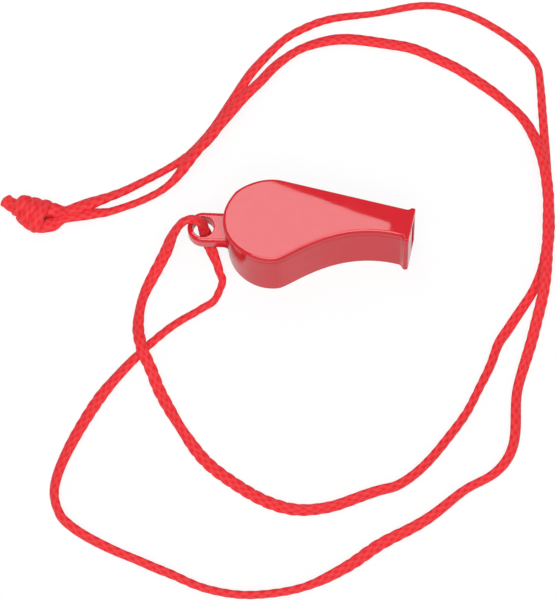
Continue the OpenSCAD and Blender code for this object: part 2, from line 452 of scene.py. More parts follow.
@dataclass(frozen=True)
class FloorFinish(Finish):
    """White to the camera and, less so, in gloss, and plain to all other light."""

    name: str = "white_floor"
    plain: tuple = (0.98, 0.98, 0.98, 1.0)
    to_camera: float = 0.85
    in_gloss: float = 0.25

    def shader(self, table: NodeTable) -> Node:
        """A plain white that a glowing white takes over by the kind of ray that sees it."""
        path = table.add("ShaderNodeLightPath").outputs
        seen = table.math("MAXIMUM", path["Is Camera Ray"], path["Is Transmission Ray"])
        gloss = table.math("MULTIPLY", path["Is Glossy Ray"], self.in_gloss)
        return table.add("ShaderNodeMixShader", {
            0: table.math("MULTIPLY_ADD", seen, self.to_camera, gloss),
            1: table.add("ShaderNodeBsdfDiffuse", {"Color": self.plain}).outputs[0],
            2: table.add("ShaderNodeEmission", {"Color": (1, 1, 1, 1), "Strength": 1.0}).outputs[0]})


@dataclass
class WhistleShape:
    """The whistle's drawing: its outline from the side, and its hollow.

    The pairs are shares of the chamber's radius for the pulls, and lengths along X and Y for
    the chamfer and the land. The lip's profile has shares of its length and of its height.
    """

    chamber_r: float = 10.5
    width: float = 18.0
    top_y: float = 9.5
    mouth_x: float = 31.1
    mouth_h: float = 6.8
    rim_r: float = 0.7
    base_rim_r: float = 0.3
    lip_l: float = 2.2
    lip_up: float = 0.6
    lip_down: float = 0.9
    mouth_lean: float = 0.3
    bore_r: float = 8.5
    side_wall: float = 2.2
    cover_t: float = 2.2
    roof_y: float = 7.8
    windway_h: float = 1.8
    mouth_roof_y: float = 8.85
    mouth_open_h: float = 2.5
    mouth_depth: float = 4.6
    flare: float = 0.25
    back_flare_share: float = 0.8
    window_end: float = 4.0
    window_chamfer: tuple = (0.3, 0.1)
    edge_back: float = 3.0
    edge_land: tuple = (0.1, 0.03)
    bevel_l: float = 1.8
    bevel_h: float = 0.4
    overrun: float = 1.2
    neck_angle: float = -70.0
    neck_pulls: tuple = (0.3, 1.45)
    ramp_angle: float = 158.0
    ramp_pulls: tuple = (0.54, 0.1)
    flat_share: float = 0.02
    back_swell: float = 0.6
    swell_end: float = 272.0
    neck_steps: int = 56
    ramp_steps: int = 40
    back_steps: int = 66
    bore_steps: int = 120
    lip_profile: tuple = ((0.0, 0.0), (0.1, 0.012), (0.2, 0.06), (0.28, 0.15), (0.36, 0.3), (0.43, 0.52),
                          (0.5, 0.75), (0.56, 0.89), (0.62, 0.97), (0.69, 1.0), (0.76, 1.0), (0.84, 0.96),
                          (0.91, 0.87), (0.96, 0.76), (0.99, 0.64), (1.0, 0.5))

    @property
    def seam_z(self) -> float:
        """The height of the seam between the body and its cover."""
        return self.width - self.cover_t

    def outline(self, level: float) -> np.ndarray:
        """The closed outline, anticlockwise from the start of the neck.

        The neck and the ramp are cubic curves between the chamber's circle and the mouthpiece,
        pulled by shares of its radius. The lip stands out by the shares of its profile, and the
        chamber's back swells a little beyond its circle towards the cover, by
        swell * level * sin(pi * share ** 0.8) ** 2.

        Args:
            level: the height as a share of the whistle's width, from 0 at the base to 1.

        Returns:
            An array of x and y, one row per point.
        """
        r, neck_y = self.chamber_r, self.top_y - self.mouth_h
        a = np.radians(self.neck_angle)
        start, end = on_circle(r, self.neck_angle)[0], np.array([self.mouth_x - self.lip_l, neck_y])
        neck = cubic(start, start + self.neck_pulls[0] * r * np.array([-np.sin(a), np.cos(a)]),
                     end - np.array([self.neck_pulls[1] * r, 0]), end, self.neck_steps)
        lip = np.array(self.lip_profile)
        x = self.mouth_x - (1 - lip[:, 0]) * self.lip_l
        low = np.column_stack([x + lip[:, 0] * self.mouth_lean, neck_y - lip[:, 1] * self.lip_down])[1:]
        top = np.column_stack([x, self.top_y + lip[:, 1] * self.lip_up])[::-1]
        a = np.radians(self.ramp_angle)
        start, end = np.array([self.flat_share * r, self.top_y]), on_circle(r, self.ramp_angle)[0]
        ramp = cubic(start, start - np.array([self.ramp_pulls[0] * r, 0]),
                     end + self.ramp_pulls[1] * r * np.array([np.sin(a), -np.cos(a)]), end, self.ramp_steps)
        sweep = 360 + self.neck_angle - self.ramp_angle
        angles = self.ramp_angle + sweep * np.arange(1, self.back_steps + 1) / self.back_steps
        share = np.clip((angles - self.ramp_angle) / (self.swell_end - self.ramp_angle), 0, 1)
        swell = self.back_swell * level * np.sin(np.pi * share ** 0.8)[:, None] ** 2
        back = on_circle(r, angles) * (1 + swell / r)
        return np.vstack([neck, low, top, [start], ramp, back])

    def hollow(self) -> np.ndarray:
        """The closed outline of the hollow: chamber, windway, mouth and sound window.

        The chamber is an arc of the bore's circle from the sounding edge round to the windway's
        floor, and the rims of the mouth and the window flare by quarter circles.

        Returns:
            An array of x and y, one row per point.
        """
        edge_y = np.sqrt(self.bore_r ** 2 - self.edge_back ** 2)
        floor_y, pocket_x = self.roof_y - self.windway_h, self.mouth_x - self.mouth_depth
        low_y = self.mouth_roof_y - self.mouth_open_h
        first = np.degrees(np.arctan2(edge_y, -self.edge_back))
        last = 360 + np.degrees(np.arctan2(floor_y, np.sqrt(self.bore_r ** 2 - floor_y ** 2)))
        arc = on_circle(self.bore_r, np.linspace(first, last, self.bore_steps))
        turn = quarter(5)
        out, side = self.flare * np.sin(turn), self.flare * (1 - np.cos(turn))
        ahead, up = self.mouth_x - self.flare + out, self.top_y - self.flare + out
        low_rim = np.column_stack([ahead, low_y - side])
        top_rim = np.column_stack([ahead, self.mouth_roof_y + side])[::-1]
        roof_rim = np.column_stack([self.window_end + side, up])
        back_x = -self.edge_back - self.bevel_l
        back_rim = np.column_stack([back_x - self.back_flare_share * side, up])[::-1]
        past_mouth, past_top = self.mouth_x + self.overrun, self.top_y + self.overrun
        land_x, land_y = self.edge_land
        return np.vstack([
            arc, [[pocket_x, low_y]], low_rim, [[past_mouth, low_rim[-1, 1]], [past_mouth, top_rim[0, 1]]],
            top_rim, [[pocket_x, self.mouth_roof_y], [self.window_end + self.window_chamfer[0], self.roof_y],
                      [self.window_end, self.roof_y + self.window_chamfer[1]]],
            roof_rim, [[roof_rim[-1, 0], past_top], [back_rim[0, 0], past_top]], back_rim,
            [[back_x, edge_y + self.bevel_h], [-self.edge_back - land_x, edge_y + land_y]]])


def drawn_in(outline: np.ndarray, distance: np.ndarray) -> np.ndarray:
    """A closed outline with each point moved inwards along the bisector of its corner.

    Args:
        outline: the points, anticlockwise.
        distance: how far each point moves.

    Returns:
        The moved points.
    """
    ahead = unit(np.roll(outline, -1, axis=0) - outline)
    left = np.column_stack([-ahead[:, 1], ahead[:, 0]])
    behind = np.roll(left, 1, axis=0)
    share = 1 + np.sum(left * behind, axis=1)
    return outline + distance[:, None] * (left + behind) / share[:, None]


def rim_reach(outline: np.ndarray, radius: float, tightest: float = 0.7, slope: float = 0.25,
              passes: int = 24) -> np.ndarray:
    """How far a rounded rim may reach in at each point, less where the outline turns tightly.

    The shorter length beside a corner over its turn is the outline's radius there. The reach
    stays under a share of it, and grows away from such a corner by a slope.

    Args:
        outline: the points, anticlockwise.
        radius: the rim's own radius.
        tightest: the largest share of the outline's radius.
        slope: how fast the reach may grow along the outline.
        passes: how many points away a tight corner is felt.

    Returns:
        The reach at each point.
    """
    ahead = np.roll(outline, -1, axis=0) - outline
    gap = np.linalg.norm(ahead, axis=1)
    b = unit(ahead)
    a = np.roll(b, 1, axis=0)
    turn = np.arctan2(a[:, 0] * b[:, 1] - a[:, 1] * b[:, 0], np.sum(a * b, axis=1))
    free = np.minimum(radius, tightest * np.minimum(gap, np.roll(gap, 1)) / np.maximum(turn, 1e-6))
    for _ in range(passes):
        free = np.minimum(free, np.roll(free, 1) + slope * np.roll(gap, 1))
        free = np.minimum(free, np.roll(free, -1) + slope * gap)
    return free


def stacked(name: str, layers: list[np.ndarray]) -> Object:
    """A closed solid through a stack of closed loops, each with its own heights.

    Args:
        name: the object's name.
        layers: arrays of x, y, z, with the same number of rows, from the lowest up.

    Returns:
        The solid's object.
    """
    count = len(layers[0])
    faces = strip_quads(len(layers), count).tolist()
    faces += [list(range(count))[::-1], list(range((len(layers) - 1) * count, len(layers) * count))]
    return make_object(name, np.vstack(layers), faces)


def at_height(outline: np.ndarray, z: float) -> np.ndarray:
    """A flat outline lifted to one height."""
    return np.column_stack([outline, np.full(len(outline), z)])


@dataclass
class Lug:
    """The flat lug at the back of the chamber, with the eye for the lanyard.

    The arc of the eye's rim crosses the lug's face at one turn and runs on a little to another,
    so that the cutter leaves no sliver.
    """

    shape: WhistleShape
    reach: float = 15.85
    eye_r: float = 2.45
    rim: float = 1.2
    thickness: float = 4.0
    side_fillet: float = 2.5
    end_edge_r: float = 0.75
    root_edge_r: float = 0.85
    face_inset: float = 0.12
    eye_edge_r: float = 0.28
    eye_edge_turn: float = 84.0
    eye_face_turn: float = 80.0
    eye_step: float = 0.02
    overrun: float = 1.5
    angle: float = 192.0
    sink: float = 0.05
    root: float = 0.9

    def edge(self) -> tuple[np.ndarray, np.ndarray]:
        """The lug's closed outline in plan, drawn along +X, and the rounding at each point.

        It runs from the root over a fillet, one side, the round end, the other side and its
        fillet back into the chamber's wall. The rounding grows from the end to the root.

        Returns:
            The outline's points, and the radius of the rounded edge at each.
        """
        half, wall = self.eye_r + self.rim, self.shape.chamber_r - self.sink
        cy = half + self.side_fillet
        cx = np.sqrt((wall + self.side_fillet) ** 2 - cy ** 2)
        first = np.degrees(np.arctan2(-cy, -cx)) % 360
        fillet = on_circle(self.side_fillet, np.linspace(first, 270, 14)) + [cx, cy]
        side = np.column_stack([np.linspace(cx, self.reach, 5)[1:-1], np.full(3, half)])
        end = on_circle(half, np.linspace(90, 0, 24)) + [self.reach, 0]
        upper = np.vstack([fillet[:1] * (wall - self.root) / wall, fillet, side, end])
        outline = np.vstack([upper[-2::-1] * [1, -1], upper])[::-1]
        share = np.clip((self.reach - outline[:, 0]) / (self.reach - cx), 0, 1)
        return outline, self.end_edge_r + (self.root_edge_r - self.end_edge_r) * share

    def solid(self) -> Object:
        """The lug as a plate with rounded edges, whose root is sunk into the chamber's wall.

        The edge's section is a quarter circle: in by r (1 - cos a), and down by r (1 - sin a).

        Returns:
            The plate, in its place.
        """
        outline, radius = self.edge()
        h = self.thickness / 2
        top = [np.column_stack([drawn_in(outline, radius * (1 - np.cos(a))), h - radius * (1 - np.sin(a))])
               for a in quarter(8)]
        top.append(at_height(drawn_in(outline, radius + self.face_inset), h))
        low = [row * [1, 1, -1] for row in top[::-1]]
        return stacked("lug", [self.placed(row) for row in low + top])

    def eye(self) -> Object:
        """The eye's cutter: a turned spool whose ends flare, so the eye gets a rounded rim.

        Returns:
            The spool, in its place.
        """
        h, r = self.thickness / 2, self.eye_edge_r
        turn = np.radians(np.linspace(0, self.eye_edge_turn, 8))
        up = np.column_stack([self.eye_r + r * (1 - np.cos(turn)),
                              h - r * np.sin(np.radians(self.eye_face_turn)) + r * np.sin(turn)])
        up = np.vstack([up, [up[-1, 0] + self.eye_step, h + self.overrun]])
        profile = np.vstack([up[::-1] * [1, -1], up])
        loops = [at_height(on_circle(radius, np.arange(0, 360, 5)) + [self.reach, 0], z)
                 for radius, z in profile]
        return stacked("eye_cutter", [self.placed(row) for row in loops])

    def placed(self, points: np.ndarray) -> np.ndarray:
        """Points drawn along +X about the lug's middle plane, turned to the lug's place."""
        a = np.radians(self.angle)
        turn = np.array([[np.cos(a), -np.sin(a)], [np.sin(a), np.cos(a)]])
        return np.column_stack([points[:, :2] @ turn.T, points[:, 2] + self.shape.width / 2])


@dataclass
class Housing:
    """The whistle's moulded body with its lug, and the side cover welded onto it.

    The slacks and the facings, which are the least heights of a face's normal, pick the faces
    that get the gloss.
    """

    shape: WhistleShape = field(default_factory=WhistleShape)
    disc_h: float = 0.8
    disc_gap: float = 0.15
    disc_chamfer: float = 0.15
    seam: float = 0.13
    margin: float = 1.0
    lug_slack: float = 0.03
    eye_slack: float = 0.04
    lug_facing: float = 0.7
    cover_facing: float = 0.3
    gloss: PlasticFinish = PlasticFinish("red_plastic_gloss")
    # painted shade: the satin red is darker than the gloss red because the side walls it covers get less
    # light; its roughness is the walls' own satin finish
    satin_shaded: PlasticFinish = PlasticFinish(
        "red_plastic_satin", colour=(0.61, 0.011, 0.022), deep=(0.58, 0.009, 0.018), specular=0.3, ior=1.32,
        smoothest=0.09, roughest=0.17, bump=0.05, grain_scale=3200.0, grain_share=1.0, sink_share=3.0)

    def rim(self, z: float, up: int) -> list[np.ndarray]:
        """The loops of a side face's rounded rim.

        Args:
            z: the side face's height.
            up: 1 for the face that looks up and -1 for the one that looks down.

        Returns:
            The loops, from the lowest up.
        """
        outline = self.shape.outline(z / self.shape.width)
        radius = self.shape.rim_r if up > 0 else self.shape.base_rim_r
        reach = rim_reach(outline, radius)
        return [at_height(drawn_in(outline, reach * (1 - np.cos(a))), z - up * radius * (1 - np.sin(a)))
                for a in quarter(9)[::up]]

    def seam_loops(self, up: int) -> list[np.ndarray]:
        """The two loops of the small chamfer at the seam.

        Args:
            up: 1 on the body, which meets the seam from below, and -1 on the cover.

        Returns:
            The loops, from the lowest up.
        """
        outline = self.shape.outline(self.shape.seam_z / self.shape.width)
        small = np.minimum(rim_reach(outline, self.shape.rim_r), self.seam)
        loops = [at_height(outline, self.shape.seam_z - up * self.seam),
                 at_height(drawn_in(outline, small), self.shape.seam_z)]
        return loops[::up]

    def body(self, lug: Lug) -> Object:
        """The body: shell and lug in one, with the hollow and the eye cut from it.

        Args:
            lug: the lug's drawing.

        Returns:
            The body, dressed.
        """
        shell = stacked("whistle_body_moulding", self.rim(0.0, -1) + self.seam_loops(1))
        levels = self.shape.side_wall, self.shape.width + self.margin
        tool = stacked("hollow_cutter", [at_height(self.shape.hollow(), z) for z in levels])
        machined(shell, [(lug.solid(), Work.JOIN), (tool, Work.CUT), (lug.eye(), Work.CUT)])
        eye = on_circle(lug.reach, lug.angle)[0]
        beyond = self.shape.chamber_r + self.shape.back_swell + self.lug_slack

        def on_lug(centre: np.ndarray, normal: np.ndarray) -> np.ndarray:
            """Whether a face is on the lug and not in its eye.

            Args:
                centre: the faces' centres.
                normal: the faces' normals.

            Returns:
                A truth value for each face.
            """
            x, y, z = centre.T
            lies = (np.hypot(x, y) > beyond) & (x < 0)
            near = abs(z - self.shape.width / 2) < lug.thickness / 2 + self.margin
            clear = np.hypot(x - eye[0], y - eye[1]) > lug.eye_r + self.eye_slack
            return lies & near & (clear | (abs(normal[:, 2]) > self.lug_facing))

        self.dress(shell, on_lug)
        return shell

    def cover(self) -> Object:
        """The side cover, with the disc under it that centres it in the chamber.

        Returns:
            The cover, dressed.
        """
        shell = stacked("side_cover_moulding", self.seam_loops(-1) + self.rim(self.shape.width, 1))
        radius, low = self.shape.bore_r - self.disc_gap, self.shape.seam_z - self.disc_h
        profile = ((radius - self.disc_chamfer, low), (radius, low + self.disc_chamfer),
                   (radius, self.shape.seam_z + self.margin))
        tool = stacked("disc", [at_height(on_circle(r, np.arange(0, 360, 4)), z) for r, z in profile])
        machined(shell, [(tool, Work.JOIN)])
        self.dress(shell, lambda centre, normal: abs(normal[:, 2]) > self.cover_facing)
        return shell

    def dress(self, shell: Object, glossy: Callable[[np.ndarray, np.ndarray], np.ndarray]) -> None:
        """Satin all over a piece, its red darkened as painted shade for the side walls, and gloss on the
        faces that a test picks.

        The large flat faces then rule the shading of the small rounded ones beside them.

        Args:
            shell: the piece.
            glossy: takes the faces' centres in millimetres and their normals, one row each.
        """
        mesh = shell.data
        mesh.materials.clear()
        for finish in (self.satin_shaded, self.gloss):
            mesh.materials.append(finish.material())
        found = []
        for name in ("center", "normal"):
            values = np.empty(len(mesh.polygons) * 3)
            mesh.polygons.foreach_get(name, values)
            found.append(values.reshape(-1, 3))
        mesh.polygons.foreach_set("material_index", glossy(found[0] / MM, found[1]).astype(np.int32))
        shell.modifiers.new("even_shading", "WEIGHTED_NORMAL").keep_sharp = True


@dataclass
class CorkPea:
    """The loose cork ball in the chamber."""

    radius: float = 4.5
    centre: tuple = (0.0, -3.7, 7.0)
    rows: int = 40
    columns: int = 64
    dip: float = 0.05
    waves: tuple = ((5, 3, 4), (9, -4, 7))
    smooth: float = 60.0
    finish: CorkFinish = CorkFinish()

    def build(self) -> Object:
        """A ball whose radius dips by the sum of waves over its two angles, less near its poles.

        Each wave is the sine of a times the turn plus b times the tilt, times the sine of c
        times the tilt.

        Returns:
            The pea's object, closed at both poles by a fan.
        """
        tilt = np.linspace(0, np.pi, self.rows + 1)[1:-1, None]
        turn = np.linspace(0, 2 * np.pi, self.columns, endpoint=False)[None, :]
        waves = sum(np.sin(a * turn + b * tilt) * np.sin(c * tilt) for a, b, c in self.waves)
        radius = self.radius - self.dip * np.sin(tilt) ** 2 * (1 + 0.5 * waves)
        ball = np.stack([radius * np.sin(tilt) * np.cos(turn), radius * np.sin(tilt) * np.sin(turn),
                         radius * np.cos(tilt) * np.ones_like(turn)], axis=-1).reshape(-1, 3)
        poles = np.array([[0, 0, self.radius], [0, 0, -self.radius]])
        grid = self.rows - 1, self.columns
        faces = strip_quads(*grid).tolist() + end_fans(*grid).tolist()
        pea = make_object("cork_pea", np.vstack([ball, poles]) + self.centre, faces, self.smooth)
        pea.data.materials.append(self.finish.material())
        return pea


def smooth_route(points: list | np.ndarray, step: float, dense: int = 24) -> np.ndarray:
    """A smooth curve through points, at even steps along it.

    Each stretch blends the straight lines through its four nearest points, with the points
    spaced by the square root of their distance, so that the curve doesn't overshoot.

    Args:
        points: the points it passes through.
        step: the distance between the curve's own points.
        dense: how many points a stretch is worked out at, before they are spaced evenly.

    Returns:
        An array of points, one row each.
    """
    points = np.asarray(points, float)
    p = np.vstack([2 * points[0] - points[1], points, 2 * points[-1] - points[-2]])
    knots = np.concatenate([[0], np.cumsum(np.linalg.norm(np.diff(p, axis=0), axis=1) ** 0.5)])
    t = np.concatenate([np.linspace(knots[i], knots[i + 1], dense, endpoint=False)
                        for i in range(1, len(p) - 2)] + [[knots[-2]]])
    i = np.clip(np.searchsorted(knots, t, side="right") - 1, 1, len(p) - 3)

    def line(a: np.ndarray, b: np.ndarray, va: np.ndarray, vb: np.ndarray) -> np.ndarray:
        """The point at t on the line from va at knot a to vb at knot b."""
        share = ((t - knots[a]) / (knots[b] - knots[a]))[:, None]
        return va * (1 - share) + vb * share

    a1, a2, a3 = (line(i + k, i + k + 1, p[i + k], p[i + k + 1]) for k in (-1, 0, 1))
    b1, b2 = line(i - 1, i + 1, a1, a2), line(i, i + 2, a2, a3)
    curve = line(i, i + 1, b1, b2)
    run = np.concatenate([[0], np.cumsum(np.linalg.norm(np.diff(curve, axis=0), axis=1))])
    even = np.linspace(0, run[-1], int(round(run[-1] / step)) + 1)
    return np.column_stack([np.interp(even, run, curve[:, k]) for k in range(3)])


def eased(along: np.ndarray, marks: tuple) -> np.ndarray:
    """Values between marks, with a smooth step from each to the next.

    The share t of the way between two marks becomes three t squared less two t cubed.

    Args:
        along: the distances at which values are wanted.
        marks: pairs of distance and value.

    Returns:
        The value at each distance.
    """
    places, values = np.array(marks, float).T
    i = np.clip(np.searchsorted(places, along, side="right") - 1, 0, len(places) - 2)
    t = np.clip((along - places[i]) / (places[i + 1] - places[i]), 0, 1)
    return values[i] + (values[i + 1] - values[i]) * t * t * (3 - 2 * t)


def smoothed(rows: np.ndarray, reach: int) -> np.ndarray:
    """Rows averaged with their neighbours on both sides, under a bell-shaped weight.

    Args:
        rows: values, one row per place.
        reach: how many neighbours on each side count.

    Returns:
        As many rows as there were.
    """
    weight = np.hanning(2 * reach + 3)[1:-1]
    padded = np.pad(rows, ((reach, reach), (0, 0)), mode="edge")
    return np.column_stack([np.convolve(padded[:, k], weight / weight.sum(), mode="valid")
                            for k in range(rows.shape[1])])


@dataclass
class BraidedCord:
    """How the lanyard's cord is braided, and how it is carried along a route."""

    width: float = 2.75
    thickness: float = 1.65
    columns: int = 4
    period: float = 2.65
    lean: float = YARN_LEAN
    leaf_l: float = 1.75
    leaf_w: float = 0.66
    relief: float = 0.26
    mean_height: float = 0.75
    blend: int = 6
    lay_blend: int = 4
    above_floor: float = 0.02
    step: float = 0.16
    sides: int = 36
    smooth: float = 75.0

    @property
    def mean_r(self) -> float:
        """The mean of the section's two radii."""
        return (self.width + self.thickness) / 4

    @property
    def girth(self) -> float:
        """The distance round the cord, about which its UV map is laid."""
        return 2 * np.pi * self.mean_r

    def leaves(self, along: np.ndarray, turn: np.ndarray, lean: float, start: float) -> np.ndarray:
        """How high the leaf-shaped stretches of one set of yarns stand.

        The stretches that show lie in even columns round the cord and at even periods along it.
        Each is a dome over an ellipse, the square root of one less the squared distances along
        and across it, and its long axis leans by an angle from the cord's own.

        Args:
            along: distances along the cord.
            turn: angles round it.
            lean: the lean of the set.
            start: the share of a column and of a period at which the set starts.

        Returns:
            Heights from 0 to 1, one row per distance.
        """
        around = 2 * np.pi / self.columns
        c, s = np.cos(np.radians(lean)), np.sin(np.radians(lean))
        high = np.zeros(np.broadcast(along, turn).shape)
        for shift in (-1, 0, 1):
            side = (turn / around - start + 0.5) % 1 - 0.5
            ahead = (along / self.period - start + 0.5) % 1 - 0.5 + shift
            x, y = side * around * self.mean_r, ahead * self.period
            dome = 1 - ((x * s + y * c) / self.leaf_l) ** 2 - ((x * c - y * s) / self.leaf_w) ** 2
            high = np.maximum(high, np.sqrt(np.clip(dome, 0, None)))
        return high

    def surface(self, route: np.ndarray, thin: np.ndarray, fullness: np.ndarray) -> dict[str, np.ndarray]:
        """The braided surface round a route.

        The section is an ellipse whose thin axis is given along the route. Two sets of leaf
        shapes that lean opposite ways stand out from it, each in the gaps of the other, and
        the surface is a soft maximum of the two.

        Args:
            route: points at even steps.
            thin: the direction of the section's thin axis at each point.
            fullness: the size of the section at each point, 1 being the cord's own.

        Returns:
            Arrays by name, one row per point of the route: points, height from 0 to 1, lay, 1 on
            the first set of yarns, and along, the distance along the route.
        """
        ahead = unit(np.gradient(route, axis=0))
        side = unit(np.cross(ahead, thin))
        up = np.cross(side, ahead)
        along = (np.arange(len(route)) * self.step)[:, None]
        turn = np.linspace(0, 2 * np.pi, self.sides, endpoint=False)[None, :]
        first = self.leaves(along, turn, self.lean, 0.0)
        second = self.leaves(along, turn, -self.lean, 0.5)
        height = (first ** self.blend + second ** self.blend) ** (1 / self.blend)
        a, b = self.width / 2, self.thickness / 2
        radius = a * b / np.sqrt((b * np.cos(turn)) ** 2 + (a * np.sin(turn)) ** 2) * fullness[:, None]
        radius = radius + self.relief * (height - self.mean_height)
        points = route[:, None, :] + radius[..., None] * (np.cos(turn)[..., None] * side[:, None, :]
                                                          + np.sin(turn)[..., None] * up[:, None, :])
        points[..., 2] = np.maximum(points[..., 2], self.above_floor)
        lay = first ** self.lay_blend / (first ** self.lay_blend + second ** self.lay_blend + 1e-6)
        return {"points": points, "height": np.clip(height, 0, 1), "lay": lay,
                "along": np.broadcast_to(along, height.shape)}

    def piece(self, name: str, runs: list[dict[str, np.ndarray]]) -> Object:
        """One object from one or more runs of braided surface, each closed at both ends.

        Its UV map holds the distance round and along the cord in millimetres.

        Args:
            name: the object's name.
            runs: surfaces, each with scorch as well where an end is burnt.

        Returns:
            The cord's object.
        """
        points, faces, heights, lays, burns, uvs, base = [], [], [], [], [], [], 0
        for run in runs:
            rows, sides = run["height"].shape
            points += [run["points"].reshape(-1, 3), run["points"][[0, -1]].mean(axis=1)]
            heights += [run["height"].ravel(), np.full(2, 0.5)]
            lays += [run["lay"].ravel(), np.full(2, 0.5)]
            scorch = run.get("scorch", np.zeros(rows))
            burns += [np.repeat(scorch, sides), scorch[[0, -1]]]
            faces += (strip_quads(rows, sides) + base).tolist() + (end_fans(rows, sides) + base).tolist()
            around, along = np.meshgrid(np.arange(sides) * (self.girth / sides), run["along"][:, 0])
            uvs.append(np.vstack([np.column_stack([around.ravel(), along.ravel()]),
                                  [[0, along[0, 0]], [0, along[-1, 0]]]]))
            base += rows * sides + 2
        cord = make_object(name, np.vstack(points), faces, self.smooth)
        for kept, values in (("braid_height", heights), ("lay", lays), ("scorch", burns)):
            place = cord.data.attributes.new(kept, "FLOAT", "POINT").data
            place.foreach_set("value", np.concatenate(values).astype(np.float32))
        self.lay_out(cord.data, np.vstack(uvs))
        return cord

    def lay_out(self, mesh: Mesh, spots: np.ndarray) -> None:
        """Writes the UV map, with the last column of quads carried on past the seam.

        Args:
            mesh: the cord's mesh.
            spots: the place in the map of each vertex.
        """
        corner = np.empty(len(mesh.loops), np.int32)
        mesh.loops.foreach_get("vertex_index", corner)
        spot = spots[corner]
        starts = np.empty(len(mesh.polygons), np.int32)
        mesh.polygons.foreach_get("loop_start", starts)
        owner = np.repeat(np.arange(len(starts)), np.diff(np.append(starts, len(corner))))
        widest = np.maximum.reduceat(spot[:, 0], starts)
        spot[:, 0] += np.where(widest[owner] - spot[:, 0] > self.girth / 2, self.girth, 0)
        mesh.uv_layers.new(name="UVMap").data.foreach_set("uv", spot.astype(np.float32).ravel())


@dataclass
class Strand:
    """One stretch of the lanyard: its route from the eye, and its way on through the knot.

    The roll is the angle of the cord's flat side from level, and the drift is how far the cord
    strays sideways from the smooth curve. Both are pairs of distance along the route and value.
    """

    route: list
    in_knot: list
    roll: tuple
    drift: tuple


@dataclass
class KnotTurns:
    """The knot's three turns round its core, as a helix with its ends tucked under.

    The helix moves on evenly along the core. As a share goes from 0 to 1 over the two turns
    after 180 degrees, it sinks a little, and each of its two radii, the first number of a
    pair, shrinks by the second.
    """

    first: float = -135.0
    last: float = 915.0
    count: int = 118
    start: tuple = (-53.4, -3.7, 2.95)
    pitch: float = 2.45
    across: tuple = (3.3, 1.6)
    up: tuple = (2.1, 0.5)
    sink: float = 0.2
    core: tuple = (0.0, -6.8, 2.95)
    fullness: float = 1.12

    def route(self) -> np.ndarray:
        """The helix, from the eye's side to the tails.

        Returns:
            An array of points, one row each.
        """
        turn = np.radians(np.linspace(self.first, self.last, self.count))
        late = np.clip((turn / np.pi - 1) / 4, 0, 1)
        across = self.across[0] - self.across[1] * late
        up = self.up[0] - self.up[1] * late
        x, y, z = self.start
        return np.column_stack([x - self.pitch * turn / (2 * np.pi), y - across + across * np.cos(turn),
                                z - self.sink * late + up * np.sin(turn)])


